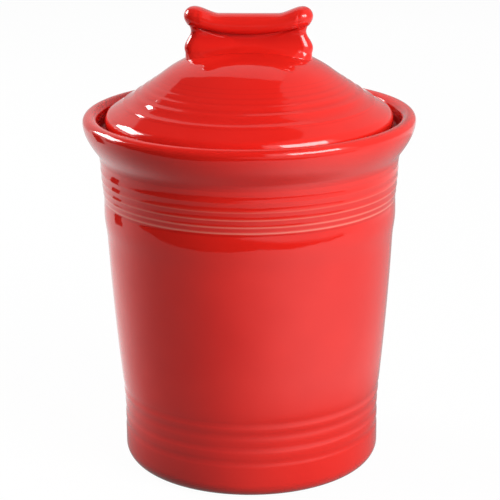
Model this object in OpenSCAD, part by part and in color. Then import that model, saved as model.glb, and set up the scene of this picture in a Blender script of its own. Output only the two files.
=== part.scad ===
// Dog treat jar: a flared stoneware canister, a domed lid with a bone-shaped handle, and a lid seal.
// Millimetres, +Z up. The foot ring stands on z = 0, the jar's axis is Z and the bone lies along X.

/* [Jar wall] */
// Outer diameter of the rolled rim
rim_d = 168; // [160:0.5:180]
// Height of the top of the rim
rim_h = 183.5; // [175:0.5:240]
// Thickness of the rolled lip
lip_t = 6.6; // [5:0.1:8]
// Height from the middle of the lip down to the foot of the flare
flare_h = 18.2; // [16:0.1:24]
// How far the rim stands out from the neck under the flare
flare_w = 8.4; // [6:0.1:11]
// How far the ring band narrows from the neck to the plain wall
band_taper = 1.65; // [0.5:0.05:4]
// Outer diameter at the bottom of the plain wall
waist_d = 132.2; // [120:0.1:145]
// Height of the bottom of the plain wall
waist_h = 30; // [20:0.5:45]
// How far the plain wall bows out of a straight line
wall_bow = 0.5; // [0.1:0.1:2]
// Radius of the rounded corner at the foot
foot_corner = 7.9; // [4:0.1:12]
// Width of the dry foot ring
foot_ring_w = 7; // [4:0.5:12]
// Depth of the recess inside the foot ring
foot_recess = 1.8; // [1:0.1:3]
// Thickness of the wall
wall_t = 6; // [4.5:0.1:7]
// Thickness of the floor above the recess
floor_t = 6.5; // [4:0.1:10]
// Radius of the corner between the wall and the floor inside
inner_corner = 9; // [5:0.5:14]

/* [Ring bands] */
// Distance between the two lowest ridges of the upper band
ridge_pitch = 3.15; // [2.4:0.05:3.6]
// How much wider each space is than the one below it
ridge_growth = 1.15; // [1:0.01:1.2]
// Number of ridges in the upper band
ridge_count = 5; // [3:1:6]
// Depth of the hollows between the ridges
ridge_depth = 0.45; // [0.2:0.05:0.8]
// Number of grooves in the lower band
groove_count = 4; // [2:1:4]
// Distance between the two highest grooves of the lower band
groove_pitch = 6.2; // [5:0.1:7]
// How much wider each space is than the one above it
groove_growth = 1.1; // [1:0.01:1.15]
// Height of each groove
groove_w = 4.6; // [2:0.1:4.8]
// Depth of each groove
groove_depth = 0.4; // [0.2:0.05:0.8]
// How far the highest groove lies above the bottom of the plain wall
groove_top = 10.4; // [6:0.1:14]

/* [Mouth] */
// Depth of the gallery ledge below the top of the rim
gallery_depth = 9.5; // [8:0.1:11]
// Clearance between the lid's edge and the rim around it
lid_gap = 4.7; // [2:0.1:5]
// Draft of the rim's inner wall between the lip and the ledge
gallery_draft = 1.4; // [0.5:0.1:2]

/* [Lid] */
// Height of the crown above the ledge
crown_h = 43; // [36:0.1:55]
// Diameter of the crown inside the rings
crown_d = 90.4; // [80:0.2:96]
// Drop of the crown from its top to the rings
crown_sag = 15.2; // [11:0.1:19]
// Thickness of the lid
lid_t = 6; // [4.5:0.1:7]
// Height of the lid's widest line above the ledge
edge_h = 6.5; // [5:0.1:8]
// Height above the ledge at which the slope turns into the edge
brim_h = 12.3; // [11:0.1:15]
// Width of the rounded edge
brim_w = 4.4; // [3:0.1:6]
// Width of the bevel under the edge
edge_tuck = 1.8; // [1:0.1:2.5]
// Number of spaces between the rings on the slope
lid_ring_count = 5; // [3:1:6]
// Depth of the widest space between the rings
lid_ring_depth = 0.4; // [0.1:0.05:0.6]
// How much wider each space is than the one inside it
lid_ring_growth = 1.13; // [1:0.01:1.2]
// Width of the plain slope outside the rings
lid_plain_w = 3.3; // [2:0.1:6]

/* [Locating flange and seal] */
// Gap between the flange and the throat
flange_gap = 2; // [1.5:0.1:3]
// Depth of the flange below the ledge
flange_h = 12; // [10:0.5:18]
// Thickness of the flange
flange_t = 5.6; // [4.5:0.1:7]
// Height of the seal
seal_h = 4.2; // [3:0.1:6]
// Thickness of the seal's band inside its groove
seal_t = 1.5; // [1:0.1:2]
// Distance from the bottom of the flange up to the seal's groove
seal_up = 2.8; // [2:0.1:3.5]
// Clearance between the seal and its groove
seal_fit = 0.2; // [0.1:0.05:0.4]
// Clearance between the seal's lips and the throat
lip_clear = 0.3; // [0.2:0.05:0.5]
// Thickness of a seal lip at its root
seal_lip_t = 1; // [0.6:0.1:1.3]

/* [Bone handle] */
// Length over the knobs
bone_l = 64.4; // [54:0.1:74]
// Height of the knobs above the crown
bone_h = 19.8; // [17:0.1:26]
// How far the knobs rise above the shaft
knob_rise = 3.6; // [1:0.1:5]
// Radius of the upper knobs seen from the front
knob_r = 4.9; // [4:0.1:6]
// Thickness of the shaft's bead
bead_t = 10; // [8:0.1:12]
// Height of the shaft's bead
bead_h = 11.2; // [10:0.1:13]
// Thickness of the web under the bead
web_t = 7.4; // [5:0.1:8]
// Height of the notch between the knobs above the crown
notch_h = 6.7; // [5.5:0.1:8]
// Depth of the notch between the knobs
notch_d = 3.4; // [1.5:0.1:4.5]
// Thickness of the lower knobs
knob_t = 12.6; // [10:0.1:15]
// How much thinner the handle is at the notch
knob_waist = 4.2; // [1:0.1:5]
// Thickness of the handle's foot in the middle
foot_t = 17; // [14:0.1:20]
// Half-length of the straight middle of the shaft
shaft_half = 16; // [8:0.5:18]
// Gap left for the joining slip between handle and crown
luting_gap = 0.08; // [0.05:0.01:0.2]

/* [Hidden] */
$fn = 96;

glaze_red = [0.86, 0.13, 0.10];
seal_white = [0.93, 0.92, 0.88];
// Segments in each kind of curve
CURVE = 8;
BOW = 6;
HOLLOW = 4;
DOME = 12;
// Points along a side and round an end of the handle's rings
SIDE = 16;
END = 10;
// Rings of the handle below and above the notch
LOWER = 8;
UPPER = 10;

// Share of the narrowing from the neck to the plain wall that the ridges take up
ridge_share = 0.78;
// Height of the hollow below the lowest ridge, as a share of the space above it
last_hollow = 1.25;
// The cove under the flare turns in by this much, this far above its start
cove_tuck = 0.3;
cove_rise = 1.3;
// The flare leaves the cove this far outside the neck, this far above the cove's start
flare_out = 2.4;
flare_rise = 4.3;
// Least height of the upright part of the flare below the middle of the lip
flare_upright = 2;
// Fillet between the rim's inner wall and the ledge
ledge_fillet = 1.5;
// Rounding of the ledge's inner edge
throat_round = 1;
// Height above the ledge of the corner that the lid's edge curves in around
tuck_h = 0.5;
// Rounding at the bottom of the flange
flange_round = 1.5;
// Length of the cove between the flange and the inside of the dome
lid_cove = 4;
// How far the seal's band stands out of its groove
band_proud = 0.2;
// Height of the band below each lip
lip_foot = 0.1;
// How much thicker a lip's root is than the lip
lip_root = 0.4;
// Rise and tip of a lip, as shares of its thickness
lip_lean = 0.8;
lip_tip = 0.6;
// How far the underside of the handle's middle stands off the crown
foot_hollow = 0.25;
// How fast the handle's foot narrows to the web
foot_sweep = 2.4;
// Part of a knob, as a share of the knobs' distance, below which the ends stay upright
knob_floor = -0.62;
// Share of the straight shaft after which the sides start to swell
swell_start = 0.7;
// Limits that keep the bead's start away from level and from upright
bead_turn_min = 0.1;
bead_turn_max = 0.95;
// Angle at which the bead's rings end and its ridge line closes them
bead_end = 74;

// Radii of the jar
rim_r = rim_d/2;
lip_r = lip_t/2;
neck_r = rim_r - flare_w;
shoulder_r = neck_r - band_taper;
waist_r = waist_d/2;
foot_r = waist_r - foot_corner;
mouth_r = rim_r - lip_t;
throat_r = neck_r - wall_t;
gallery_r = mouth_r - gallery_draft;

// Heights of the jar
lip_z = rim_h - lip_r;
gallery_z = rim_h - gallery_depth;
cove_z = lip_z - flare_h;
floor_z = foot_recess + floor_t;
// Ridge heights run down from the foot of the flare, with spaces that shrink downwards
ridge_span = ridge_pitch*growth_sum(ridge_growth, ridge_count);
ridge_low_z = cove_z - ridge_span;
ridge_low_r = mix(neck_r, shoulder_r, ridge_share);
shoulder_z = ridge_low_z - ridge_pitch*last_hollow;
bow_slope = (shoulder_r - waist_r)/(shoulder_z - waist_h);
// The cove under the flare turns in before it swings out
cove_turn = [neck_r - cove_tuck, cove_z + cove_rise];
flare_foot = [neck_r + flare_out, cove_z + flare_rise];
flare_lean = (flare_foot.x - cove_turn.x)/(flare_foot.y - cove_turn.y);
flare_meet = flare_foot.y + (rim_r - flare_foot.x)/flare_lean;
flare_knee = [rim_r, min(lip_z - flare_upright, flare_meet)];

// Radii and heights of the lid, from the mouth that it sits in
lid_r = mouth_r - lid_gap;
crown_r = crown_d/2;
crown_z = gallery_z + crown_h;
crown_ball = (pow(crown_r, 2) + pow(crown_sag, 2))/(2*crown_sag);
flange_r = throat_r - flange_gap;
flange_in_r = flange_r - flange_t;
flange_z = gallery_z - flange_h;
seal_z = flange_z + seal_up;
seal_in_r = flange_r - seal_t;
seal_tip_r = throat_r - lip_clear;
ring_span = lid_r - brim_w - lid_plain_w - crown_r;
slope_a = [crown_r, crown_z - crown_sag];
slope_b = [lid_r - brim_w, gallery_z + brim_h];
slope_fall = (slope_a.y - slope_b.y)/(slope_b.x - slope_a.x);

// Heights of the handle
notch_z = crown_z + notch_h;
knob_z = crown_z + bone_h - knob_r;
bead_z = crown_z + bone_h - knob_rise - bead_h/2;
knob_pitch = 2*(knob_z - notch_z);
bone_half = bone_l/2;
bead_turn = (bead_z - notch_z)/(bead_h/2);
bead_start = -asin(min(bead_turn_max, max(bead_turn_min, bead_turn)));

// Curves

// Sum of the first n terms of a series that starts at 1 and grows by g
function growth_sum(g, n) = n < 1 ? 0 : pow(g, n - 1) + growth_sum(g, n - 1);
// Straight blend between two values or points
function mix(a, b, t) = a + (b - a)*t;
// Blend from 0 to 1 between two values, level at both ends
function ease(a, b, x) = let (t = max(0, min(1, (x - a)/(b - a)))) t*t*(3 - 2*t);
// Arc about a centre, with both ends
function arc(c, r, from, to, n = CURVE) =
    [for (i = [0:n]) let (a = mix(from, to, i/n)) c + r*[cos(a), sin(a)]];
// Curve from p to q that leaves and arrives along the lines to k, without p
function bend(p, k, q, n = CURVE) =
    [for (i = [1:n]) let (t = i/n) mix(mix(p, k, t), mix(k, q, t), t)];
// Curve from p to q that lies depth to the right of the straight line in its middle, without p
function bow(p, q, depth, n) =
    let (d = q - p, side = [d.y, -d.x]/norm(d))
    [for (i = [1:n]) let (t = i/n) mix(p, q, t) + side*depth*4*t*(1 - t)];

// Jar outlines, as [radius, height]

// Straight line of the plain wall, where the grooves of the lower band sit
function wall_at(z) = [max(waist_r, waist_r + (z - waist_h)*bow_slope), z];
function groove_z(i) = waist_h + groove_top - groove_pitch*growth_sum(groove_growth, i);
// One groove of the lower band, from its lower lip to its upper lip
function groove(z) =
    let (lo = wall_at(z - groove_w/2), hi = wall_at(z + groove_w/2))
    concat([lo], bow(lo, hi, -groove_depth, HOLLOW));
function lower_band() = [for (i = [groove_count - 1:-1:0]) each groove(groove_z(i))];
// Ridges of the upper band, counted from the lowest
function ridge(i) =
    let (t = growth_sum(ridge_growth, i)/growth_sum(ridge_growth, ridge_count))
    [mix(ridge_low_r, neck_r, t), ridge_low_z + ridge_span*t];
function upper_band() =
    [for (i = [0:ridge_count - 2]) each bow(ridge(i), ridge(i + 1), -ridge_depth, HOLLOW)];

function jar_outside() =
    let (
        shoulder = [shoulder_r, shoulder_z],
        band_top = lower_band()[len(lower_band()) - 1],
        neck = ridge(ridge_count - 1)
    )
    concat(
        arc([foot_r, foot_corner], foot_corner, -90, 0),
        lower_band(),
        bow(band_top, shoulder, wall_bow, BOW),
        bow(shoulder, ridge(0), -ridge_depth, HOLLOW),
        upper_band(),
        bend(neck, cove_turn, flare_foot),
        bend(flare_foot, flare_knee, [rim_r, lip_z])
    );

function jar_inside() =
    let (
        throat_low = [throat_r, cove_z],
        shoulder_in = [shoulder_r - wall_t, shoulder_z],
        waist_in = [waist_r - wall_t, waist_h],
        corner_in = [waist_r - wall_t - inner_corner, floor_z + inner_corner],
        wall_foot = [gallery_r, gallery_z + ledge_fillet],
        ledge_out = [gallery_r - ledge_fillet, gallery_z],
        ledge_in = [throat_r + throat_round, gallery_z],
        throat_top = [throat_r, gallery_z - throat_round]
    )
    concat(
        [wall_foot],
        bend(wall_foot, [gallery_r, gallery_z], ledge_out, HOLLOW),
        [ledge_in],
        bend(ledge_in, [throat_r, gallery_z], throat_top, HOLLOW),
        [throat_low],
        [shoulder_in],
        bow(shoulder_in, waist_in, -wall_bow, BOW),
        arc(corner_in, inner_corner, 0, -90),
        [[0, floor_z]]
    );

module jar()
    color(glaze_red)
    rotate_extrude()
    polygon(concat(
        [[0, foot_recess], [foot_r - foot_ring_w - foot_recess, foot_recess], [foot_r - foot_ring_w, 0]],
        jar_outside(),
        arc([rim_r - lip_r, lip_z], lip_r, 180/CURVE, 180, CURVE - 1),
        jar_inside()
    ));

// Lid outlines, as [radius, height]

// Height of the crown at a distance from the axis
function crown_at(r) = crown_z - crown_ball + sqrt(pow(crown_ball, 2) - pow(r, 2));
// Point of the straight slope between the crown and the edge
function slope_at(r) = mix(slope_a, slope_b, (r - slope_a.x)/(slope_b.x - slope_a.x));
// Ring i on the slope, counted outwards from the crown
function lid_ring(i) =
    let (t = growth_sum(lid_ring_growth, i)/growth_sum(lid_ring_growth, lid_ring_count))
    slope_at(crown_r + ring_span*t);

function lid_outside() =
    let (
        edge = [lid_r, gallery_z + edge_h],
        edge_top = [lid_r, slope_b.y - slope_fall*brim_w],
        under = [lid_r - edge_tuck, gallery_z]
    )
    concat(
        [for (i = [0:DOME]) let (r = crown_r*i/DOME) [r, crown_at(r)]],
        [for (i = [0:lid_ring_count - 1])
            each bow(lid_ring(i), lid_ring(i + 1), lid_ring_depth*(i + 1)/-lid_ring_count, HOLLOW)],
        [slope_b],
        bend(slope_b, edge_top, edge),
        bend(edge, [lid_r, gallery_z + tuck_h], under, HOLLOW)
    );

// Outside of the flange, with the groove that holds the seal
function flange_outside() =
    let (
        deep = seal_in_r - seal_fit,
        lo = seal_z - seal_fit,
        hi = seal_z + seal_h + seal_fit,
        side = [flange_r, flange_z + flange_round],
        bottom = [flange_r - flange_round, flange_z]
    )
    concat(
        [[flange_r, gallery_z], [flange_r, hi], [deep, hi], [deep, lo], [flange_r, lo], side],
        bend(side, [flange_r, flange_z], bottom, HOLLOW)
    );

function lid_inside() =
    let (
        lean = atan(slope_fall),
        inward = [sin(lean), cos(lean)]*lid_t,
        fall_a = slope_a - inward,
        meet = [flange_in_r, fall_a.y - (flange_in_r - fall_a.x)*slope_fall],
        cove_a = meet + lid_cove*[-cos(lean), sin(lean)],
        cove_b = meet - [0, lid_cove],
        bottom = [flange_in_r + flange_round, flange_z],
        side = [flange_in_r, flange_z + flange_round],
        under_ball = crown_ball - lid_t
    )
    concat(
        [bottom],
        bend(bottom, [flange_in_r, flange_z], side, HOLLOW),
        [cove_b],
        bend(cove_b, meet, cove_a, HOLLOW),
        [for (i = [DOME:-1:0]) let (r = fall_a.x*i/DOME)
            [r, crown_z - crown_ball + sqrt(pow(under_ball, 2) - pow(r, 2))]]
    );

module lid()
    color(glaze_red)
    rotate_extrude()
    polygon(concat(lid_outside(), flange_outside(), lid_inside()));

// Seal: a band in the flange's groove with two lips that point up the throat
module seal_ring() {
    band_r = flange_r + band_proud;
    lip_up = seal_lip_t*lip_lean;
    tip_up = lip_up + seal_lip_t*lip_tip;
    root_up = seal_lip_t + lip_root;
    color(seal_white)
    rotate_extrude()
    polygon(concat(
        [[seal_in_r, seal_z], [band_r, seal_z]],
        [for (z = [seal_z + lip_foot, seal_z + seal_h/2 + lip_foot]) each [
            [band_r, z],
            [seal_tip_r, z + lip_up],
            [seal_tip_r, z + tip_up],
            [band_r, z + root_up]
        ]],
        [[band_r, seal_z + seal_h], [seal_in_r, seal_z + seal_h]]
    ));
}

// Bone handle: a stack of capsule-shaped rings, from its foot on the crown to the top of the bead

// 1 at the notch between the knobs, 0 at the widest line of either knob
function notch_share(z) = (1 + cos(360*max(knob_floor, (z - notch_z)/knob_pitch)))/2;
// Height of the underside, which follows the crown
function seat_at(x, y) = crown_at(norm([x, y])) + luting_gap;
// 0 along the straight shaft, 1 at the knobs
function knob_share(x) = ease(shaft_half, bone_half - knob_r, abs(x));

// A ring is [half-length, half-thickness in the middle, half-thickness at the ends]
function lower_ring(t) =
    let (seat = seat_at(bone_half, 0), share = notch_share(mix(seat, notch_z, t)))
    [bone_half - notch_d*share,
     web_t/2 + (foot_t - web_t)/2*pow(1 - t, foot_sweep),
     (knob_t - knob_waist*share)/2];
function upper_ring(a) =
    let (
        swell = a < 0 ? (cos(a) - cos(bead_start))/(1 - cos(bead_start)) : 1,
        notch_y = (knob_t - knob_waist)/2,
        z = knob_z + (knob_z - notch_z)*sin(a)/-sin(bead_start)
    )
    a < 0
        ? [bone_half - notch_d*notch_share(z), mix(web_t/2, bead_t/2, swell), mix(notch_y, bead_t/2, swell)]
        : [bone_half - knob_r*(1 - cos(a)), bead_t/2*cos(a), bead_t/2*cos(a)];

// Height of a point of the handle at a place on the lower or the upper part
function lower_z(x, y, t) = mix(seat_at(x, y), notch_z, t);
function upper_z(x, a) =
    let (
        middle = bead_z + bead_h/2*sin(a),
        middle_low = mix(notch_z, bead_z, 1 - sin(a)/sin(bead_start)),
        end = knob_z + (a < 0 ? (knob_z - notch_z)*sin(a)/-sin(bead_start) : knob_r*sin(a))
    )
    mix(a < 0 ? middle_low : middle, end, knob_share(x));

// Plan of a ring: along one side, round an end, back along the other side and round the other end
function plan(ring) =
    let (straight = ring[0] - ring[2])
    concat(
        [for (i = [0:SIDE]) let (x = straight*(1 - 2*i/SIDE)) [x, side_y(x, ring)]],
        [for (i = [1:END - 1]) [-straight, 0] + ring[2]*[cos(90 + 180*i/END), sin(90 + 180*i/END)]],
        [for (i = [0:SIDE]) let (x = straight*(2*i/SIDE - 1)) [x, -side_y(x, ring)]],
        [for (i = [1:END - 1]) [straight, 0] + ring[2]*[cos(180*i/END - 90), sin(180*i/END - 90)]]
    );
function side_y(x, ring) =
    mix(ring[1], ring[2], ease(shaft_half*swell_start, ring[0] - ring[2], abs(x)));
function spine(ring) = [for (i = [0:SIDE]) (ring[0] - ring[2])*(1 - 2*i/SIDE)];

// Faces that close a ring with the spine along its middle; first is the ring's first point
function cap(first, spine_first, up) =
    let (
        left = first + SIDE,
        far = left + END,
        right = far + SIDE,
        around = 2*(SIDE + END),
        faces = concat(
            [for (i = [0:SIDE - 1]) each [
                [first + i, first + i + 1, spine_first + i],
                [first + i + 1, spine_first + i + 1, spine_first + i],
                [far + i, far + i + 1, spine_first + SIDE - i],
                [far + i + 1, spine_first + SIDE - i - 1, spine_first + SIDE - i]
            ]],
            [for (i = [0:END - 1]) each [
                [left + i, left + i + 1, spine_first + SIDE],
                [right + i, first + (SIDE*2 + END + i + 1)%around, spine_first]
            ]]
        )
    )
    up ? [for (f = faces) [f[2], f[1], f[0]]] : faces;

module bone_handle() {
    around = 2*(SIDE + END);
    rings = LOWER + UPPER + 1;
    lower = [for (k = [0:LOWER]) let (t = k/LOWER) for (p = plan(lower_ring(t)))
        [p.x, p.y, lower_z(p.x, p.y, t)]];
    upper = [for (k = [1:UPPER]) let (a = mix(bead_start, bead_end, k/UPPER)) for (p = plan(upper_ring(a)))
        [p.x, p.y, upper_z(p.x, a)]];
    foot_spine = [for (x = spine(lower_ring(0))) [x, 0, seat_at(x, 0) + foot_hollow]];
    top_spine = [for (x = spine(upper_ring(bead_end))) [x, 0, upper_z(x, 90)]];
    sides = [for (k = [0:rings - 2]) for (i = [0:around - 1])
        let (a = k*around + i, b = k*around + (i + 1)%around)
        each [[a, a + around, b], [b, a + around, b + around]]];
    color(glaze_red)
    polyhedron(
        concat(lower, upper, foot_spine, top_spine),
        concat(sides, cap(0, rings*around, false), cap((rings - 1)*around, rings*around + SIDE + 1, true))
    );
}

jar();
lid();
bone_handle();
seal_ring();
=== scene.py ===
"""Looks of the dog treat jar.

A glazed jar, lid and bone handle, a soft lid seal, a pale floor and studio light.
"""

import math

import bpy
import numpy as np
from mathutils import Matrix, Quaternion, Vector


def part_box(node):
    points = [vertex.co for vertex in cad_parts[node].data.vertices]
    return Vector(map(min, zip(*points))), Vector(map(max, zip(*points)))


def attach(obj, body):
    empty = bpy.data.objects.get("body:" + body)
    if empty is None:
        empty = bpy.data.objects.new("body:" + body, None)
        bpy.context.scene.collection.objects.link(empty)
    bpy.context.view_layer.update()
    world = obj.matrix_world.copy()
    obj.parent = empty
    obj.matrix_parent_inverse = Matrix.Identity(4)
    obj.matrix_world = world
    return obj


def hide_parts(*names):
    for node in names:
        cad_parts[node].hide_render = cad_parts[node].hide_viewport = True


MM = 0.001

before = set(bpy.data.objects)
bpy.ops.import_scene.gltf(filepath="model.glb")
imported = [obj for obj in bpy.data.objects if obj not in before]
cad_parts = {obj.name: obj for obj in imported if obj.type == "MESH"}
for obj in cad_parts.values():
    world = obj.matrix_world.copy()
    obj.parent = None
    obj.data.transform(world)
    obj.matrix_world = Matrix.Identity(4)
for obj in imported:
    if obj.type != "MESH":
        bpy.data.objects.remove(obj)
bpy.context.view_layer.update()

# Driving sizes, from the frame. Sizes are in millimetres up to the materials
JAR_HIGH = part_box("jar")[1] / MM
LID_LOW, LID_HIGH = (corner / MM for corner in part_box("lid"))
BONE_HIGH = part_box("bone_handle")[1] / MM
SEAL_LOW, SEAL_HIGH = (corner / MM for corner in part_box("seal_ring"))

# Jar: rolled lip, flare, neck, collar, wall and foot
RIM_R = JAR_HIGH.x
RIM_H = JAR_HIGH.z
LIP_R = 3.3
LIP_IN = 4.2
LIP_Z = RIM_H - LIP_R
FLARE_W = 8.05
FLARE_H = 19
FLARE_FOOT_W = 2.05
FLARE_FOOT_H = 5.1
KNEE_DROP = 2
COVE_H = 2.4
COVE_Z = LIP_Z - FLARE_H
NECK_R = RIM_R - FLARE_W
BAND_STEP = 1.72
SHOULDER_R = NECK_R - BAND_STEP
COLLAR_H = 6
COLLAR_SWELL = 0.06
COLLAR_STEP = 1.28
COLLAR_FALL = 18.5
COLLAR_HEEL = 2.4
COLLAR_TOE_W = 0.18
COLLAR_TOE_H = 3
WAIST_R = 66.1
WAIST_Z = 30
WALL_BOW = 0.5
WALL_T = 6
FOOT_CORNER = 7.9
FOOT_R = WAIST_R - FOOT_CORNER
FOOT_RING_W = 7
FOOT_RECESS = 1.8
FLOOR_T = 6.5
FLOOR_Z = FOOT_RECESS + FLOOR_T
INNER_CORNER = 9

# Ring bands: ridges under the neck, grooves above the foot
RIDGES = 5
RIDGE_GROWTH = 1.125
RIDGE_PITCH = 3.2
RIDGE_DEPTH = 0.14
RIDGE_SHARE = 1.03
BAND_H = 20.6
BAND_BOW = 0.22
LOWEST_RIDGE_Z = COVE_Z - BAND_H
TOP_HOLLOW_D = 0.27
LAST_HOLLOW_H = 2.2
LAST_HOLLOW_D = 0.1
GROOVES = 4
GROOVE_GROWTH = 1.1
GROOVE_PITCH = 6.2
GROOVE_W = 4.6
GROOVE_DEPTH = 0.27
GROOVE_TOP = 10.4

# Mouth: the gallery that the lid sits in, and the throat under it
GALLERY_H = 9.5
GALLERY_Z = RIM_H - GALLERY_H
GALLERY_W = 8
GALLERY_R = RIM_R - GALLERY_W
THROAT_STEP = 8.4
THROAT_R = RIM_R - THROAT_STEP - WALL_T
LEDGE_FILLET = 1.5
THROAT_ROUND = 1

# Lid: crown, slope with rings, brim and flange
LID_R = LID_HIGH.x
CROWN_Z = LID_HIGH.z
CROWN_R = 45.2
CROWN_DROP = 2
CROWN_SAG = 15
CROWN_FULL = 2.85
CROWN_BALL = (CROWN_R**2 + CROWN_SAG**2) / (2 * CROWN_SAG)
LID_T = 6
BRIM_H = 9.5
BRIM_R = 6
EDGE_TUCK = 1.8
TUCK_H = 0.5
LID_RINGS = 6
LID_RING_DEPTH = 0.44
LID_RING_GROWTH = 1.25
LID_RING_W = 5.7
LID_RING_FADE = 1.8
LID_PLAIN_W = 6.86
LID_PLAIN_D = 0.26
LID_PLAIN_LEAN = 0.78
FLANGE_Z = LID_LOW.z
FLANGE_FIT = 2
FLANGE_R = THROAT_R - FLANGE_FIT
FLANGE_T = 5.6
FLANGE_IN_R = FLANGE_R - FLANGE_T
FLANGE_ROUND = 1.5
LID_COVE = 4

# Seal: a band with two lips, whose heights are measured from their feet
SEAL_R = SEAL_HIGH.x
SEAL_T = 1.5
SEAL_FIT = 0.2
BAND_PROUD = 0.2
SEAL_LIP_FOOT = 0.1
SEAL_LIP_LOW = 0.8
SEAL_LIP_HIGH = 1.4

# Bone handle: foot on the lid, thin web, bead along the top and two knobs at each end
BONE_HALF = BONE_HIGH.x
BONE_H = BONE_HIGH.z - CROWN_Z
KNOB_RISE = 3.6
KNOB_R = 4.9
KNOB_T = 10
KNOB_WAIST = 2.4
KNOB_FLOOR = -0.62
NOTCH_H = 6.7
NOTCH_D = 3.4
BEAD_T = 14
BEAD_H = 10
BEAD_FULL = 0.8
BEAD_UNDER = 0.4
BEAD_LIFT = 4.3
WEB_T = 5
SHAFT_HALF = 14.5
FOOT_T = 17
FOOT_SWEEP = 3.5
FOOT_SUNK = 0.3
LOBE_REACH = 28
LOBE_TIP = 4
LOBE_SHAPE = 2.7
CREASE = 1.5

# How far the glaze rounds sharp corners, and the mould those of the seal
GLAZE_ROUND = 0.2
SEAL_ROUND = 0.08
# Mesh fineness: degrees that a section turns and millimetres that it runs between two rings,
# segments around, points in a curve, and steps in the radius of a rounded corner
TURN = 6
SEAL_TURN = 20
REACH = 3
AROUND = 160
CURVE_STEPS = 24
ROUND_STEPS = 3
# Segments of the handle: along a side, round an end, up the web and over the bead
BONE_SIDE = 84
BONE_END = 28
BONE_LOWER = 26
BONE_UPPER = 34

# Where the glaze breaks thin over a ridge, as a pale line that is partly a painted highlight:
# half-width of the line on a ridge, and its strength from the lowest ridge up
BREAK_SHEEN_W = 0.6
BREAK_SHEEN = (0.68, 0.5, 0.45, 0.32, 0.1)
# Where it pools, and where shade is painted: the most that counts in the lid's hollows and, as
# painted shade, under the handle's bead, the shares of the web's height over which that shade sets
# in, and the bead's angles over which it ends
LID_POOL = 0.11
BONE_SHADE = 0.2
WEB_SHADE = (0.15, 0.85)
BEAD_SHADE = (-1, -0.2)
# Painted shade in the gallery, where the glaze is also dull: the heights at which that starts and
# is full, the radius inside which it lies, and the height at which it stops
DARK_START = RIM_H - 2
DARK_FULL = GALLERY_Z + 1
DARK_R = RIM_R - LIP_R - 1
DARK_LOW = GALLERY_Z - 3

SHARES = np.linspace(0, 1, CURVE_STEPS)


def growth_sum(growth, count):
    return sum(growth**i for i in range(count))


def mix(a, b, t):
    return a + (b - a) * t


def ease(low, high, x):
    t = np.clip((x - low) / (high - low), 0, 1)
    return t * t * (3 - 2 * t)


def point(r, z):
    return np.array([r, z], float)


def side_of(p, q):
    """Unit vector to the right of the way from p to q."""
    run = q - p
    return point(run[1], -run[0]) / np.linalg.norm(run)


def arc(centre, radius, start, end):
    angles = np.radians(np.linspace(start, end, CURVE_STEPS))
    return [centre + radius * point(math.cos(a), math.sin(a)) for a in angles]


def bend(p, corner, q):
    """Curve from p to q that leaves and arrives along the lines to the corner."""
    return [mix(mix(p, corner, t), mix(corner, q, t), t) for t in SHARES]


def bow(p, q, depth):
    """Curve from p to q that lies depth to the right of the straight line in its middle."""
    side = side_of(p, q)
    return [mix(p, q, t) + side * depth * 4 * t * (1 - t) for t in SHARES]


def wave(p, q, depth):
    """A bow that starts and ends along the straight line, so that neighbours join smoothly."""
    side = side_of(p, q)
    return [mix(p, q, t) + side * depth * math.sin(math.pi * t) ** 2 for t in SHARES]


def hollow_between(p, q, depth, lean=0.5):
    """Scoop from the ridge p up to the ridge q, deepest at the share lean of the way."""
    side = side_of(p, q)
    curve = []
    for t in SHARES:
        away = (t - lean) / (lean if t < lean else 1 - lean)
        curve.append(mix(p, q, t) - side * depth * (1 - away**2))
    return curve


RIDGE_LOW = point(mix(NECK_R, SHOULDER_R, RIDGE_SHARE), LOWEST_RIDGE_Z)
SHOULDER = point(SHOULDER_R, LOWEST_RIDGE_Z - LAST_HOLLOW_H)
WALL_TOP = SHOULDER - point(COLLAR_STEP, COLLAR_FALL)
COLLAR_LOW = SHOULDER + point(COLLAR_SWELL, -COLLAR_H)
COLLAR_IN = WALL_TOP + point(COLLAR_TOE_W, COLLAR_TOE_H)
COLLAR_OUT = COLLAR_LOW - point(0, COLLAR_HEEL)
COLLAR_MID = (COLLAR_IN + COLLAR_OUT) / 2


def ridge(i):
    z = LOWEST_RIDGE_Z + RIDGE_PITCH * growth_sum(RIDGE_GROWTH, i)
    t = (z - LOWEST_RIDGE_Z) / BAND_H
    return mix(RIDGE_LOW, point(NECK_R, COVE_Z), t) + point(BAND_BOW * 4 * t * (1 - t), 0)


def wall_at(z):
    slope = (WALL_TOP[0] - WAIST_R) / (WALL_TOP[1] - WAIST_Z)
    return point(max(WAIST_R, WAIST_R + (z - WAIST_Z) * slope), z)


def groove(i):
    z = WAIST_Z + GROOVE_TOP - GROOVE_PITCH * growth_sum(GROOVE_GROWTH, i)
    return bow(wall_at(z - GROOVE_W / 2), wall_at(z + GROOVE_W / 2), -GROOVE_DEPTH)


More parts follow.
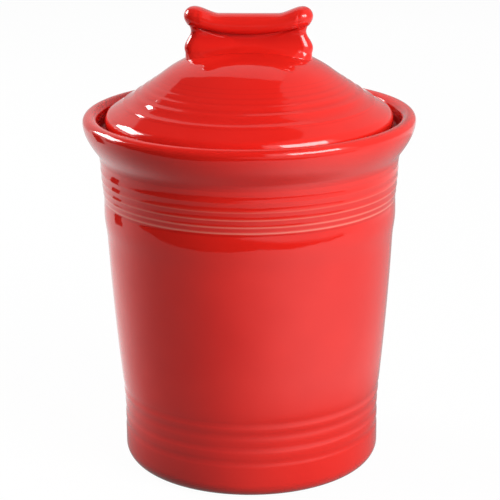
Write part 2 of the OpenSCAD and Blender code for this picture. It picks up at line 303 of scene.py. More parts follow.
def jar_profile():
    """The jar's section from the middle of its underside, up the outside and down the inside."""
    ring_in = FOOT_R - FOOT_RING_W
    points = [point(0, FOOT_RECESS), point(ring_in - FOOT_RECESS, FOOT_RECESS), point(ring_in, 0)]
    points += arc(point(FOOT_R, FOOT_CORNER), FOOT_CORNER, -90, 0)
    for i in reversed(range(GROOVES)):
        points += groove(i)
    points += bow(points[-1], WALL_TOP, WALL_BOW)
    points += bend(WALL_TOP, COLLAR_IN, COLLAR_MID) + bend(COLLAR_MID, COLLAR_OUT, COLLAR_LOW)
    points += bow(SHOULDER, ridge(0), -LAST_HOLLOW_D)
    for i in range(RIDGES):
        depth = mix(RIDGE_DEPTH, TOP_HOLLOW_D, i / (RIDGES - 1))
        points += hollow_between(ridge(i), ridge(i + 1), depth)
    cove_turn = point(NECK_R, COVE_Z + COVE_H)
    flare_foot = point(NECK_R + FLARE_FOOT_W, COVE_Z + FLARE_FOOT_H)
    out, up = flare_foot - cove_turn
    knee_z = flare_foot[1] + (RIM_R - flare_foot[0]) * up / out
    knee = point(RIM_R, min(LIP_Z - KNEE_DROP, knee_z))
    points += bend(points[-1], cove_turn, flare_foot)
    points += bend(flare_foot, knee, point(RIM_R, LIP_Z))
    points += arc(point(RIM_R - LIP_R, LIP_Z), point(LIP_R, LIP_R), 0, 90)
    points += arc(point(RIM_R - LIP_R, LIP_Z), point(LIP_IN, LIP_R), 90, 180)
    wall_foot = point(GALLERY_R, GALLERY_Z + LEDGE_FILLET)
    ledge_out = point(GALLERY_R - LEDGE_FILLET, GALLERY_Z)
    ledge_in = point(THROAT_R + THROAT_ROUND, GALLERY_Z)
    throat_top = point(THROAT_R, GALLERY_Z - THROAT_ROUND)
    points += bend(wall_foot, point(GALLERY_R, GALLERY_Z), ledge_out)
    points += bend(ledge_in, point(THROAT_R, GALLERY_Z), throat_top)
    points.append(point(THROAT_R, COVE_Z))
    points += bow(WALL_TOP - point(WALL_T, 0), point(WAIST_R - WALL_T, WAIST_Z), -WALL_BOW)
    corner = point(WAIST_R - WALL_T - INNER_CORNER, FLOOR_Z + INNER_CORNER)
    points += arc(corner, INNER_CORNER, 0, -90)
    points.append(point(0, FLOOR_Z))
    return points


def crown_at(r):
    return CROWN_Z - CROWN_DROP - (CROWN_SAG - CROWN_DROP) * (r / CROWN_R) ** CROWN_FULL


def lid_at(r, slope_a, slope_b):
    """The lid's outer face: a full crown, then a cone down to the brim."""
    if r < CROWN_R:
        return point(r, crown_at(r))
    return mix(slope_a, slope_b, (r - slope_a[0]) / (slope_b[0] - slope_a[0]))


def lid_profile():
    """The lid's section from the middle of its underside, round the flange and over the crown."""
    slope_a = point(CROWN_R, CROWN_Z - CROWN_SAG)
    corner = point(LID_R, GALLERY_Z + BRIM_H)
    fall = (slope_a[1] - corner[1]) / (corner[0] - slope_a[0])
    lean = math.atan(fall)
    upslope = point(-math.cos(lean), math.sin(lean))
    cut = BRIM_R * math.tan((math.pi / 2 - lean) / 2)
    slope_b = corner + cut * upslope
    brim = corner - point(BRIM_R, cut)
    under_ball = CROWN_BALL - LID_T
    fall_a = slope_a - LID_T * point(math.sin(lean), math.cos(lean))
    meet = point(FLANGE_IN_R, fall_a[1] - (FLANGE_IN_R - fall_a[0]) * fall)
    points = []
    for r in np.linspace(0, fall_a[0], CURVE_STEPS):
        points.append(point(r, CROWN_Z - CROWN_BALL + math.sqrt(under_ball**2 - r**2)))
    points += bend(meet + LID_COVE * upslope, meet, meet - point(0, LID_COVE))
    low_in = point(FLANGE_IN_R, FLANGE_Z)
    low_out = point(FLANGE_R, FLANGE_Z)
    up, out = point(0, FLANGE_ROUND), point(FLANGE_ROUND, 0)
    points += bend(low_in + up, low_in, low_in + out)
    points += bend(low_out - out, low_out, low_out + up)
    deep = FLANGE_R - SEAL_T - SEAL_FIT
    low, high = SEAL_LOW.z - SEAL_FIT, SEAL_HIGH.z + SEAL_FIT
    points += [point(FLANGE_R, low), point(deep, low), point(deep, high), point(FLANGE_R, high)]
    points += [point(FLANGE_R, GALLERY_Z), point(LID_R - EDGE_TUCK, GALLERY_Z)]
    points += bend(points[-1], point(LID_R, GALLERY_Z + TUCK_H), brim + point(BRIM_R, 0))
    points += arc(brim, BRIM_R, 0, 90 - math.degrees(lean))
    crest = lid_at(slope_b[0] - LID_PLAIN_W, slope_a, slope_b)
    points += hollow_between(slope_b, crest, LID_PLAIN_D, LID_PLAIN_LEAN)
    width = LID_RING_W
    for i in range(LID_RINGS):
        higher = lid_at(crest[0] - width, slope_a, slope_b)
        depth = LID_RING_DEPTH * (width / LID_RING_W) ** LID_RING_FADE
        points += (wave if i > 0 else bow)(crest, higher, -depth)
        crest, width = higher, width / LID_RING_GROWTH
    for r in np.linspace(crest[0], 0, CURVE_STEPS):
        points.append(point(r, crown_at(r)))
    return points


def seal_profile():
    """The seal's section: a band with two lips that point up the throat."""
    band = FLANGE_R + BAND_PROUD
    inner = FLANGE_R - SEAL_T
    points = [point(inner, SEAL_LOW.z), point(band, SEAL_LOW.z)]
    for edge in (SEAL_LOW.z, (SEAL_LOW.z + SEAL_HIGH.z) / 2):
        foot = edge + SEAL_LIP_FOOT
        low, high = foot + SEAL_LIP_LOW, foot + SEAL_LIP_HIGH
        points += [point(band, foot), point(SEAL_R, low), point(SEAL_R, high), point(band, high)]
    points += [point(band, SEAL_HIGH.z), point(inner, SEAL_HIGH.z), point(inner, SEAL_LOW.z)]
    return points


def lengths(points):
    """How far along an outline each of its points lies."""
    return np.r_[0, np.cumsum(np.linalg.norm(np.diff(points, axis=0), axis=1))]


def course(points):
    """The length and the heading of each step of an outline."""
    runs = np.diff(points, axis=0)
    return np.linalg.norm(runs, axis=1), np.unwrap(np.arctan2(runs[:, 1], runs[:, 0]))


def soften(points, radius, closed=False):
    """The outline with its corners rounded: even short steps, each averaged with its neighbours."""
    points = np.array(points)
    run = lengths(points)
    keep = np.r_[True, np.diff(run) > 0]
    points, run = points[keep], run[keep]
    places = np.linspace(0, run[-1], int(run[-1] / (radius / ROUND_STEPS)))
    even = np.column_stack([np.interp(places, run, points[:, k]) for k in (0, 1)])
    width = 3 * ROUND_STEPS
    if closed:
        before, after = even[-width - 1:-1], even[1:width + 1]
    else:
        before = 2 * even[0] - even[width:0:-1]
        after = 2 * even[-1] - even[-2:-width - 2:-1]
    padded = np.vstack([before, even, after])
    weights = np.exp(-0.5 * (np.arange(-width, width + 1) / ROUND_STEPS) ** 2)
    weights /= weights.sum()
    return np.column_stack([np.convolve(padded[:, k], weights, "valid") for k in (0, 1)])


def thin_out(points, turn):
    """The places of an even outline that keep its shape: few where straight, more in bends."""
    steps, headings = course(points)
    turned, gone, kept = 0.0, 0.0, [0]
    for i in range(1, len(points) - 1):
        turned += abs(headings[i] - headings[i - 1])
        gone += steps[i - 1]
        if turned > math.radians(turn) or gone > REACH:
            kept.append(i)
            turned, gone = 0.0, 0.0
    return kept + [len(points) - 1]


def curvature(points, spread):
    """Smoothed turning per millimetre of an even outline: above 0 on ridges, below in hollows."""
    steps, headings = course(points)
    turn = np.r_[0, np.diff(headings) / steps[1:], 0]
    width = max(1, int(spread / steps.mean()))
    weights = np.hanning(2 * width + 3)
    return np.convolve(turn, weights / weights.sum(), "same")


def add_mesh(name, verts, faces, attributes):
    """A smooth mesh object in metres. A face's corners are (point, u, v), and each attribute
    gives a value for every point."""
    mesh = bpy.data.meshes.new(name)
    indices = [[corner[0] for corner in face] for face in faces]
    mesh.from_pydata([Vector(v) * MM for v in verts], [], indices)
    uvs = [corner[1:] for face in faces for corner in face]
    layer = mesh.uv_layers.new(name="OFBake")
    layer.data.foreach_set("uv", np.array(uvs, np.float32).ravel())
    for key, values in attributes.items():
        attribute = mesh.attributes.new(key, "FLOAT", "POINT")
        attribute.data.foreach_set("value", np.array(values, np.float32))
    mesh.polygons.foreach_set("use_smooth", [True] * len(mesh.polygons))
    mesh.update()
    piece = bpy.data.objects.new(name, mesh)
    bpy.context.scene.collection.objects.link(piece)
    return piece


def around_steps(count):
    """Each step round a ring: its point, the next point, and their shares of the way."""
    return [(i, (i + 1) % count, i / count, (i + 1) / count) for i in range(count)]


def revolve(name, outline, radius, closed=False, turn=TURN, break_sheen=(), pool=1, gallery=False):
    """A turned piece from its section, with the values that the glaze follows: "ridge" near the
    ridges where it breaks thin, as a pale line that is partly a painted highlight; glaze pooled in
    hollows, up to pool; and painted shade in a gallery."""
    even = soften(outline, radius, closed)
    bent = curvature(even, 2 * radius)
    kept = thin_out(even, turn)
    run = lengths(even)
    verts, rings, ridges, hollow, gallery_shade = [], [], [], [], []
    for i in kept[:-1] if closed else kept:
        r, z = even[i]
        angles = 2 * math.pi * np.arange(AROUND) / AROUND if r >= radius else [0]
        count = len(angles)
        rings.append((len(verts), count, run[i] / run[-1]))
        r = r if count > 1 else 0
        verts += [(r * math.cos(a), r * math.sin(a), z) for a in angles]
        near = [s * (1 - np.linalg.norm(even[i] - p) / BREAK_SHEEN_W) for p, s in break_sheen]
        # Painted shade, with dull glaze, in the gallery under the lip
        dark = gallery and r < DARK_R and z > DARK_LOW
        ridges += [max(near + [0])] * count
        hollow += [np.clip(-bent[i], 0, pool)] * count
        gallery_shade += [ease(DARK_START, DARK_FULL, z) if dark else 0] * count
    if closed:
        rings.append((0, AROUND, 1))
    faces = []
    for (a, count_a, v_a), (b, count_b, v_b) in zip(rings, rings[1:]):
        for j, k, u, w in around_steps(AROUND):
            middle = (u + w) / 2
            low = [(a + j, u, v_a), (a + k, w, v_a)] if count_a > 1 else [(a, middle, v_a)]
            high = [(b + k, w, v_b), (b + j, u, v_b)] if count_b > 1 else [(b, middle, v_b)]
            faces.append(low + high)
    return add_mesh(name, verts, faces, {"ridge": ridges, "hollow": hollow, "gallery_shade": gallery_shade})


# Bone handle: a stack of capsule-shaped rings

NOTCH_Z = CROWN_Z + NOTCH_H
KNOB_X = BONE_HALF - KNOB_R
KNOB_Z = CROWN_Z + BONE_H - KNOB_R
BEAD_Z = CROWN_Z + BONE_H - KNOB_RISE - BEAD_H / 2
BEAD_START = -math.acos((WEB_T / BEAD_T) ** (1 / BEAD_UNDER))


def notch_share(z):
    """1 at the notch between the knobs, 0 at the widest line of either knob."""
    pitch = 2 * (KNOB_Z - NOTCH_Z)
    return (1 + math.cos(2 * math.pi * max(KNOB_FLOOR, (z - NOTCH_Z) / pitch))) / 2


def seat_at(x, y):
    return crown_at(math.hypot(x, y))


def knob_share(x):
    return ease(SHAFT_HALF, KNOB_X, abs(x))


def junction_z(x):
    """Height at which the web meets the bead, which bends up towards its ends."""
    return BEAD_Z + BEAD_H / 2 * math.sin(BEAD_START) + BEAD_LIFT * (x / KNOB_X) ** 2


JUNCTION_END = junction_z(KNOB_X)


def knob_z(a):
    """Height of the lower half of the upper knob, by the angle round the bead's section."""
    return mix(KNOB_Z, JUNCTION_END, math.sin(a) / math.sin(BEAD_START))


def larger(a, b):
    """The larger of two sizes, with a soft crease where they meet."""
    t = np.clip(0.5 + 0.5 * (b - a) / CREASE, 0, 1)
    return mix(a, b, t) + CREASE * t * (1 - t)


def lower_ring(t):
    """A ring from the foot, at 0, to the bead, at 1: its half-length, its half-thickness in the
    middle and at the ends, and how far the ends' lobes reach inwards."""
    share = notch_share(mix(seat_at(BONE_HALF, 0), JUNCTION_END, t))
    middle = (WEB_T + (FOOT_T - WEB_T) * (1 - t) ** FOOT_SWEEP) / 2
    reach = mix(LOBE_REACH, LOBE_TIP, t**LOBE_SHAPE)
    ends = larger((KNOB_T - KNOB_WAIST * share) / 2, middle)
    return BONE_HALF - NOTCH_D * share, middle, ends, reach


def upper_ring(a):
    """The same from there to the top of the bead, by the angle round the bead's section."""
    half = BEAD_T / 2 * math.cos(a) ** (BEAD_FULL if a > 0 else BEAD_UNDER)
    if a >= 0:
        return BONE_HALF - KNOB_R * (1 - math.cos(a)), half, half, LOBE_REACH
    swell = (2 * half - WEB_T) / (BEAD_T - WEB_T)
    ends = mix(lower_ring(1)[2], BEAD_T / 2, swell)
    reach = mix(LOBE_TIP, LOBE_REACH, swell)
    return BONE_HALF - NOTCH_D * notch_share(knob_z(a)), half, ends, reach


def upper_z(x, a):
    middle = BEAD_Z + BEAD_H / 2 * math.sin(a)
    end = knob_z(a) if a < 0 else KNOB_Z + KNOB_R * math.sin(a)
    up = (math.sin(a) - math.sin(BEAD_START)) / (1 - math.sin(BEAD_START))
    bent = min(1, abs(x) / KNOB_X) ** 2
    return mix(middle, end, mix(bent, knob_share(x), up))


def bone_plan(ring):
    """Plan of a ring: along one side, round an end, back along the other and round that end."""
    length, middle, ends, reach = ring
    straight = length - ends
    plan = []
    for turn in (1, -1):
        for i in range(BONE_SIDE + 1):
            x = straight * (1 - 2 * i / BONE_SIDE)
            lobe = ends * math.sqrt(max(0, 1 - ((straight - abs(x)) / reach) ** 2))
            y = mix(larger(middle, lobe), ends, ease(straight - CREASE, straight, abs(x)))
            plan.append((turn * x, turn * y))
        for i in range(1, BONE_END):
            a = math.pi * (0.5 + i / BONE_END)
            plan.append((turn * (ends * math.cos(a) - straight), turn * ends * math.sin(a)))
    return plan


def bone_mesh(name):
    """The handle as a closed skin: rings from its foot in the lid up to a line along its top."""
    rings, hollow = [], []
    for t in np.linspace(0, 1, BONE_LOWER + 1):
        plan = bone_plan(lower_ring(t))
        # Painted shade on the web under the bead, darkest just below it
        hollow += [BONE_SHADE * ease(*WEB_SHADE, t)] * len(plan)
        rings.append([(x, y, mix(seat_at(x, y) - FOOT_SUNK, junction_z(x), t)) for x, y in plan])
    *turns, top_turn = np.linspace(BEAD_START, math.pi / 2, BONE_UPPER + 1)[1:]
    for a in turns:
        plan = bone_plan(upper_ring(a))
        # Painted shade carried up the bead's underside, ending partway round it
        hollow += [BONE_SHADE * (1 - ease(*BEAD_SHADE, a))] * len(plan)
        rings.append([(x, y, upper_z(x, a)) for x, y in plan])
    around = len(rings[0])
    steps = around_steps(around)
    verts = [v for ring in rings for v in ring]
    faces = []
    for k in range(len(rings) - 1):
        low, high = k / len(rings), (k + 1) / len(rings)
        a, b = k * around, (k + 1) * around
        for i, j, u, w in steps:
            faces.append([(a + i, u, low), (a + j, w, low), (b + j, w, high), (b + i, u, high)])
    top = len(verts)
    length = upper_ring(top_turn)[0]
    for x in np.linspace(length, -length, BONE_SIDE + 1):
        verts.append((x, 0, upper_z(x, top_turn)))
    half = around // 2
    over = []
    for i in range(around):
        along = min(i % half, BONE_SIDE)
        over.append(top + (along if i < half else BONE_SIDE - along))
    last = (len(rings) - 1) * around
    for i, j, u, w in steps:
        face = [(last + i, u, high), (last + j, w, high), (over[j], w, 1)]
        faces.append(face if over[i] == over[j] else face + [(over[i], u, 1)])
    foot = len(verts)
    verts.append((0, 0, crown_at(0) - FOOT_SUNK))
    for i, j, u, w in steps:
        faces.append([(j, w, 0), (i, u, 0), (foot, (u + w) / 2, 0)])
    zeros = [0.0] * len(verts)
    hollow += zeros[len(hollow):]
    return add_mesh(name, verts, faces, {"ridge": zeros, "hollow": hollow, "gallery_shade": zeros})


# Thin glaze over the ridges, lightened into a line that is partly a painted highlight
break_sheen = [(ridge(i), strength) for i, strength in enumerate(BREAK_SHEEN)]
jar = revolve("jar_glazed", jar_profile(), GLAZE_ROUND, break_sheen=break_sheen, gallery=True)
lid = revolve("lid_glazed", lid_profile(), GLAZE_ROUND, pool=LID_POOL)
seal = revolve("seal_soft", seal_profile(), SEAL_ROUND, closed=True, turn=SEAL_TURN)
bone = bone_mesh("bone_glazed")

# Materials

# Glaze colours: where it is thicker and thinner, breaks thin over ridges with a painted highlight,
# pools in hollows and takes painted shade, and bare clay
DEEP = (0.72, 0.013, 0.008, 1)
BRIGHT = (0.79, 0.019, 0.012, 1)
BREAK_SHEEN_COLOUR = (0.88, 0.36, 0.27, 1)
POOLED_AND_SHADE = (0.50, 0.006, 0.005, 1)
CLAY = (0.60, 0.47, 0.35, 1)
GLAZE_IOR = 1.5
# Scale and detail of the noise behind the glaze's clouds of colour, iron specks, patches of
# gloss, ragged dry edge, slow waves and orange peel
CLOUDS = (14, 3)
SPECKS = (900, 2)
PATCHES = (60, 4)
RAGGED = (400, 2)
WAVES = (40, 1)
PEEL = (220, 1)
# The middle stretch of a noise, and the top of it that makes specks
NOISE_MIDDLE = (0.3, 0.7)
NOISE_TOP = (0.76, 0.80)
# How much of the dark colour goes to hollows (glaze pooled there, and painted shade under the
# handle's bead), to the gallery (painted shade) and to specks, and the curvatures over which
# hollows do
HOLLOW_BEND = (0.03, 0.2)
POOL_AND_SHADE_TINT = 0.4
GALLERY_SHADE_TINT = 0.8
SPECK_TINT = 0.5
# Roughness of the gloss, of the gallery and of the clay
GLOSS = (0.03, 0.09)
TUCKED_ROUGH = 0.5
CLAY_ROUGH = 0.85
WAVE_DEPTH = 0.25
PEEL_DEPTH = 0.03
# Height of the dry foot, how far its edge wanders, and the stretch over which it ends
DRY_H = 0.4
DRY_WANDER = 0.4
DRY_EDGE = (0.35, 0.45)
BELOW_ALL = -100

SILICONE_IOR = 1.41
SILICONE_DEPTH = 1.5
SILICONE_MILK = 0.25
SILICONE_ROUGH = (0.38, 0.55)
BLOOM = (150, 4)
BLOOM_COLOURS = ((0.35, (0.80, 0.78, 0.72, 1)), (0.65, (0.90, 0.89, 0.85, 1)))

# Places of the colour sockets on a mix node
MIX_FACTOR, MIX_A, MIX_B, MIX_RESULT = 0, 6, 7, 2


class Shading:
    """A node tree with short ways to add nodes, whose inputs take sockets or plain values."""

    def __init__(self, owner):
        owner.use_nodes = True
        self.nodes, self.links = owner.node_tree.nodes, owner.node_tree.links
        self.nodes.clear()

    def put(self, value, socket):
        if isinstance(value, bpy.types.NodeSocket):
            self.links.new(value, socket)
        else:
            socket.default_value = value

    def add(self, kind, inputs=None, **settings):
        node = self.nodes.new("ShaderNode" + kind)
        for key, value in settings.items():
            setattr(node, key, value)
        for key, value in (inputs or {}).items():
            self.put(value, node.inputs[key])
        return node

    def spot(self):
        """The place on the object, in metres."""
        return self.add("TexCoord").outputs["Object"]

    def noise(self, scale, detail):
        inputs = {"Vector": self.spot(), "Scale": scale, "Detail": detail}
        return self.add("TexNoise", inputs).outputs["Fac"]

    def attribute(self, key):
        return self.add("Attribute", attribute_name=key).outputs["Fac"]

    def calculate(self, operation, *values):
        return self.add("Math", dict(enumerate(values)), operation=operation).outputs[0]

    def fit(self, value, low, high, to_low, to_high):
        """The value's stretch from low to high, eased on to another stretch."""
        inputs = {"Value": value, "From Min": low, "From Max": high}
        inputs.update({"To Min": to_low, "To Max": to_high})
        return self.add("MapRange", inputs, interpolation_type="SMOOTHSTEP").outputs["Result"]

    def blend(self, factor, a, b):
        inputs = {MIX_FACTOR: factor, MIX_A: a, MIX_B: b}
        return self.add("Mix", inputs, data_type="RGBA").outputs[MIX_RESULT]

    def choose(self, factor, a, b):
        return self.add("MixShader", {0: factor, 1: a, 2: b}).outputs["Shader"]


def new_material(name):
    material = bpy.data.materials.new(name)
    shading = Shading(material)
    return material, shading, shading.add("OutputMaterial").inputs["Surface"]


def glaze(name, dry_below):
    """High-gloss red glaze, with dry clay below a height in millimetres."""
    material, shading, surface = new_material(name)
    fit, blend = shading.fit, shading.blend
    gallery_shade = shading.attribute("gallery_shade")
    colour = blend(fit(shading.noise(*CLOUDS), *NOISE_MIDDLE, 0, 1), DEEP, BRIGHT)
    # Glaze pooled in the jar's and lid's hollows, and painted shade under the handle's bead
    hollow = fit(shading.attribute("hollow"), *HOLLOW_BEND, 0, POOL_AND_SHADE_TINT)
    colour = blend(hollow, colour, POOLED_AND_SHADE)
    # Painted shade in the gallery
    colour = blend(fit(gallery_shade, 0, 1, 0, GALLERY_SHADE_TINT), colour, POOLED_AND_SHADE)
    # Pale line where the glaze breaks thin on the ridges, partly a painted highlight
    colour = blend(fit(shading.attribute("ridge"), 0, 1, 0, 1), colour, BREAK_SHEEN_COLOUR)
    colour = blend(fit(shading.noise(*SPECKS), *NOISE_TOP, 0, SPECK_TINT), colour, POOLED_AND_SHADE)

    height = shading.add("SeparateXYZ", {"Vector": shading.spot()}).outputs["Z"]
    edge = shading.calculate("MULTIPLY_ADD", shading.noise(*RAGGED), DRY_WANDER * MM, height)
    dry = fit(edge, *((dry_below + z) * MM for z in DRY_EDGE), 1, 0)
    rough = fit(shading.noise(*PATCHES), *NOISE_MIDDLE, *GLOSS)
    rough = shading.calculate("MAXIMUM", rough, fit(dry, 0, 1, 0, CLAY_ROUGH))
    rough = shading.calculate("MAXIMUM", rough, fit(gallery_shade, 0, 1, 0, TUCKED_ROUGH))

    slow = {"Distance": WAVE_DEPTH * MM, "Height": shading.noise(*WAVES)}
    fine = {"Distance": PEEL_DEPTH * MM, "Height": shading.noise(*PEEL)}
    fine["Normal"] = shading.add("Bump", slow).outputs["Normal"]
    inputs = {"Base Color": blend(dry, colour, CLAY), "Roughness": rough, "IOR": GLAZE_IOR}
    inputs["Normal"] = shading.add("Bump", fine).outputs["Normal"]
    shading.put(shading.add("BsdfPrincipled", inputs).outputs["BSDF"], surface)
    return material


def silicone(name):
    """Milky satin silicone with a faint bloom."""
    material, shading, surface = new_material(name)
    bloom = shading.noise(*BLOOM)
    tint = shading.add("ValToRGB", {"Fac": bloom})
    for element, (position, colour) in zip(tint.color_ramp.elements, BLOOM_COLOURS):
        element.position, element.color = position, colour
    low, high = SILICONE_ROUGH
    rough = shading.add("MapRange", {"Value": bloom, "To Min": low, "To Max": high})
    inputs = {"Base Color": tint.outputs["Color"], "Roughness": rough.outputs["Result"]}
    inputs.update({"IOR": SILICONE_IOR, "Subsurface Weight": SILICONE_MILK})
    inputs["Subsurface Scale"] = SILICONE_DEPTH * MM
    shading.put(shading.add("BsdfPrincipled", inputs).outputs["BSDF"], surface)
    return material


finishes = (
    (jar, "jar", "jar", "red_glaze", glaze("jar_glaze", DRY_H)),
    (lid, "lid", "lid", "red_glaze", glaze("lid_glaze", FLANGE_Z + DRY_H)),
    (bone, "lid", "bone_handle", "red_glaze", glaze("bone_glaze", BELOW_ALL)),
    (seal, "seal", "seal_ring", "seal_silicone", silicone("seal_milky")),
)
for piece, body, node, slot, material in finishes:
    piece.data.materials.append(material)
    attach(piece, body)
    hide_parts(node)

# Stage: a pale floor, a white surround, soft lights and cards for the glaze to mirror. Its
# lengths are in metres

AMBIENT = 0.02
AMBIENT_COLOUR = (1, 0.985, 0.97, 1)
WHITE = (1, 1, 1, 1)
# The floor: how far it reaches, its shade for light that falls on the jar and as it is seen,
# and how much of what is seen is plain white
FLOOR_REACH = 4
FLOOR_BOUNCE = 0.18
FLOOR_PALE = 0.85
FLOOR_WHITE = 0.97
# Where the lamps point, and how far off they are
MIDDLE_Z = 0.12
LAMP_AWAY = 1.3
KEY_AZ = 49
KEY_EL = 26
# Name, azimuth, elevation, width and height in degrees, how bright it looks, and whether the
# glaze mirrors it
SOFTBOXES = (
    ("key", KEY_AZ, KEY_EL, 34, 24, 11.9, True),
    ("key_wide", KEY_AZ - 3, KEY_EL + 2, 50, 32, 0.8, True),
    ("left", -115, 26, 28, 20, 14.5, True),
    ("back_fill", 165, 25, 50, 40, 1.0, False),
    ("key_low", 58, 8, 30, 20, 3.4, False),
    ("top_fill", -90, 75, 40, 40, 1.4, False),
)
# The patch of lit floor on the left: azimuth, distance, height, size and how bright it looks
BOUNCE_AZ = -62
BOUNCE_AWAY = 0.24
BOUNCE_Z = 0.004
BOUNCE_SIZE = 0.3
BOUNCE_GLOW = 0.6

# Points along a curtain, and round a card on the floor
CURTAIN_STEPS = 24
FLOOR_STEPS = 145
# Heights of the curtains' lower edge, of the low ones' upper edge, and of the ceiling
CURTAIN_LOW = 0.002
DRAPE_TOP = 0.2
CEILING_Z = 1.9
WALL_TOP_RIGHT = 3.0
WALL_TOP_LEFT = 1.2
# The ceiling's front, back and right edges, and the line where its dark front part ends
CEILING_FRONT = -1.7
CEILING_BACK = 3.0
CEILING_RIGHT = 2.5
DARK_EDGE = ((-1.95, 1.4), (-1.52, 1.9), (-0.93, 1.13), (-0.43, 0.76), (0, 0.58), (0.33, 0.6),
             (0.56, 0.7))
# The cards on the floor: their heights and inner edge, and the table's outline by azimuth
TABLE_Z = 0.001
UNDER_TABLE_Z = 0.0005
FLOOR_CARD_IN = 0.02
TABLE_EDGE = ((-180, 0.6), (-105, 1.0), (-90, 0.8), (-80, 0.64), (-65, 0.5), (-48, 0.42),
              (-32, 0.385), (-10, 0.40), (11, 0.45), (33, 0.43), (47, 0.47), (64, 0.51),
              (78, 0.56), (180, 0.6))
# How fast the table's glow falls off from its direction, and the distances over which it sets in
FAN = 3.4
NEAR = (0.1, 0.17)
NEAR_LEFT = (0.07, 0.13)

# The photograph's view
LENS = 135.36
SENSOR = 36
AIM = Vector((-0.0001, 0, 0.1104))
VIEW_AZ = 3.5
VIEW_EL = 16.918
VIEW_AWAY = 0.9695
VIEW_ROLL = -0.443


def white_surround(shading):
    """1 for what the camera and reflections see, 0 for the light that falls on things."""
    path = shading.add("LightPath")
    seen = path.outputs["Is Camera Ray"]
    for key in ("Is Glossy Ray", "Is Transmission Ray"):
        seen = shading.calculate("MAXIMUM", seen, path.outputs[key])
    return seen


def make_world():
    world = bpy.data.worlds.new("studio")
    shading = Shading(world)
    output = shading.add("OutputWorld")
    ambient = shading.add("Background", {"Color": AMBIENT_COLOUR, "Strength": AMBIENT}).outputs[0]
    white = shading.add("Background", {"Color": WHITE, "Strength": 1}).outputs[0]
    chosen = shading.choose(white_surround(shading), ambient, white)
    shading.put(chosen, output.inputs["Surface"])
    bpy.context.scene.world = world


def staged(name, points, faces):
    mesh = bpy.data.meshes.new(name)
    mesh.from_pydata(points, [], faces)
    piece = bpy.data.objects.new(name, mesh)
    bpy.context.scene.collection.objects.link(piece)
    return piece


def make_floor():
    """A pale floor that shows white, with a faint shadow left in it."""
    corners = [(-1, -1, 0), (1, -1, 0), (1, 1, 0), (-1, 1, 0)]
    floor = staged("floor", [Vector(c) * FLOOR_REACH for c in corners], [range(len(corners))])
    material, shading, surface = new_material("floor_white")
    paints = []
    for shade in (FLOOR_BOUNCE, FLOOR_PALE):
        paint = shading.add("BsdfDiffuse", {"Color": (shade, shade, shade, 1)})
        paints.append(paint.outputs["BSDF"])
    glow = shading.add("Emission", {"Strength": 1}).outputs["Emission"]
    seen = shading.choose(FLOOR_WHITE, paints[1], glow)
    shading.put(shading.choose(white_surround(shading), paints[0], seen), surface)
    floor.data.materials.append(material)


def around_jar(azimuth, elevation, distance, height=MIDDLE_Z):
    """A place seen from the jar: azimuth 0 is the photographed side, 90 its right."""
    a, e = math.radians(azimuth), math.radians(elevation)
    out = Vector((math.sin(a) * math.cos(e), -math.cos(a) * math.cos(e), math.sin(e)))
    return Vector((0, 0, height)) + out * distance


def area_light(name, wide, high, radiance, mirrored):
    """A soft light, by its size, how bright it looks and whether the glaze mirrors it."""
    light = bpy.data.lights.new(name, "AREA")
    light.shape = "RECTANGLE"
    light.size, light.size_y = wide, high
    light.energy = radiance * math.pi * wide * high
    lamp = bpy.data.objects.new(name, light)
    lamp.visible_camera = False
    lamp.visible_glossy = mirrored
    bpy.context.scene.collection.objects.link(lamp)
    return lamp


def softbox(name, azimuth, elevation, wide, high, radiance, mirrored):
    """A soft light that faces the jar, with its middle and its size in degrees."""
    sizes = [2 * LAMP_AWAY * math.tan(math.radians(a / 2)) for a in (wide, high)]
    lamp = area_light(name, *sizes, radiance, mirrored)
    lamp.location = around_jar(azimuth, elevation, LAMP_AWAY)
    lamp.rotation_mode = "QUATERNION"
    lamp.rotation_quaternion = (lamp.location - around_jar(0, 0, 0)).to_track_quat("Z", "Y")


def floor_bounce():
    """A square patch of lit floor on the left of the jar."""
    lamp = area_light("bounce_left", BOUNCE_SIZE, BOUNCE_SIZE, BOUNCE_GLOW, False)
    lamp.location = around_jar(BOUNCE_AZ, 0, BOUNCE_AWAY, BOUNCE_Z)
    lamp.rotation_euler = (math.pi, 0, math.radians(BOUNCE_AZ))


def card(name, rows, shade, lit=(), fan=()):
    """A card that only reflections see, from rows of points. What lit lists brightens it towards
    some directions, and what fan lists too, but by the angle and not beside the jar."""
    points = [p for row in rows for p in row]
    across = len(rows[0])
    faces = []
    for i in range(len(rows) - 1):
        for j in range(across - 1):
            a = i * across + j
            faces.append((a, a + 1, a + across + 1, a + across))
    piece = staged(name, points, faces)
    for key in ("camera", "diffuse", "transmission", "volume_scatter", "shadow"):
        setattr(piece, "visible_" + key, False)
    material, shading, surface = new_material(name)
    spot = shading.spot()

    def vector(operation, *values):
        return shading.add("VectorMath", dict(enumerate(values)), operation=operation).outputs

    total = shade
    for direction, start, end, gain in lit:
        along = vector("DOT_PRODUCT", spot, direction)["Value"]
        total = shading.calculate("ADD", shading.fit(along, start, end, 0, gain), total)
    for direction, gain, near in fan:
        heading = vector("NORMALIZE", spot)["Vector"]
        cosine = vector("DOT_PRODUCT", heading, direction)["Value"]
        share = shading.calculate("POWER", shading.calculate("MAXIMUM", cosine, 0), FAN)
        away = shading.fit(vector("LENGTH", spot)["Value"], *near, 0, gain)
        total = shading.calculate("ADD", shading.calculate("MULTIPLY", share, away), total)
    glow = shading.add("Emission", {"Strength": total})
    shading.put(glow.outputs["Emission"], surface)
    piece.data.materials.append(material)


def curtain(name, start, end, low, high, away, shade, lit=()):
    """A curved upright card between two azimuths and two heights."""
    azimuths = np.linspace(start, end, CURTAIN_STEPS)
    rows = [[around_jar(a, 0, away, z) for a in azimuths] for z in (low, high)]
    card(name, rows, shade, lit)


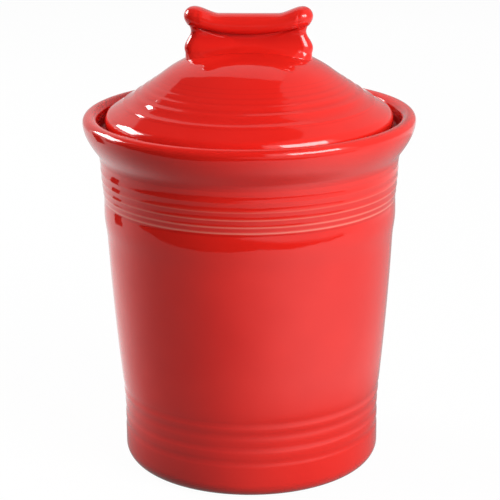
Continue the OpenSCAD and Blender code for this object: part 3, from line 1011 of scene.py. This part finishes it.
def floor_card(name, outline, height, shade, lit=(), fan=()):
    """A flat card just above the floor, round the jar out to an outline by azimuth."""
    azimuths = np.linspace(outline[0][0], outline[-1][0], FLOOR_STEPS)
    reaches = np.interp(azimuths, *zip(*outline))
    inner = [around_jar(a, 0, FLOOR_CARD_IN, height) for a in azimuths]
    outer = [around_jar(a, 0, r, height) for a, r in zip(azimuths, reaches)]
    card(name, [inner, outer], shade, lit, fan)


def make_ceiling():
    """A flat ceiling, dark in front of a bent line and paler behind it and on the right."""
    front = [(x, CEILING_FRONT, CEILING_Z) for x, y in DARK_EDGE]
    middle = [(x, y, CEILING_Z) for x, y in DARK_EDGE]
    back = [(x, CEILING_BACK, CEILING_Z) for x, y in DARK_EDGE]
    right = [[row[-1], (CEILING_RIGHT, row[-1][1], CEILING_Z)] for row in (front, back)]
    card("ceiling", [front, middle], 0.09)
    card("ceiling_back", [middle, back], 0.67)
    card("ceiling_right", right, 0.5)


def make_camera():
    camera = bpy.data.cameras.new("camera")
    camera.lens = LENS
    camera.sensor_width = SENSOR
    view = bpy.data.objects.new("camera", camera)
    view.location = around_jar(VIEW_AZ, VIEW_EL, VIEW_AWAY, AIM.z) + Vector((AIM.x, 0, 0))
    view.rotation_mode = "QUATERNION"
    roll = Quaternion((0, 0, 1), math.radians(VIEW_ROLL))
    view.rotation_quaternion = (view.location - AIM).to_track_quat("Z", "Y") @ roll
    bpy.context.scene.collection.objects.link(view)
    bpy.context.scene.camera = view


make_world()
make_floor()
for box in SOFTBOXES:
    softbox(*box)
floor_bounce()
key_side, left_side, right_side = (around_jar(KEY_AZ + a, 0, 1, 0) for a in (0, 180, 66))
# Where cards are brighter: a direction, how far along it that sets in and is full, and by how much
drape_lit = [(key_side, 0.5, 1.05, 0.75)]
floor_lit = [(key_side, 0.48, 0.65, 0.9)]
# The table's glow: a direction, by how much it is brighter, and the distances
fans = [(key_side, 0.86, NEAR), (left_side, 0.66, NEAR_LEFT), (right_side, 0.35, NEAR)]
# Azimuths of the ends, heights of the edges, distance and shade
curtain("drape_low", -105, 78, CURTAIN_LOW, DRAPE_TOP, 1.08, 0.03, drape_lit)
curtain("drape_front", -94, 14, DRAPE_TOP, CEILING_Z, 1.1, 0.06)
curtain("wall_right", 78, 180, CURTAIN_LOW, WALL_TOP_RIGHT, 1.6, 0.5)
curtain("wall_left", 180, 228, CURTAIN_LOW, WALL_TOP_LEFT, 1.6, 0.65)
curtain("stand_left", -121, -108, CURTAIN_LOW, DRAPE_TOP, 0.5, 0.03)
make_ceiling()
# Outline, height and shade
floor_card("table", TABLE_EDGE, TABLE_Z, 0.38, fan=fans)
floor_card("dark_floor", ((-105, 1.2), (76, 1.2)), UNDER_TABLE_Z, 0.03, floor_lit)
floor_card("far_floor", ((76, 1.7), (255, 1.7)), UNDER_TABLE_Z, 0.9)
make_camera()
bpy.context.scene.view_settings.view_transform = "Standard"
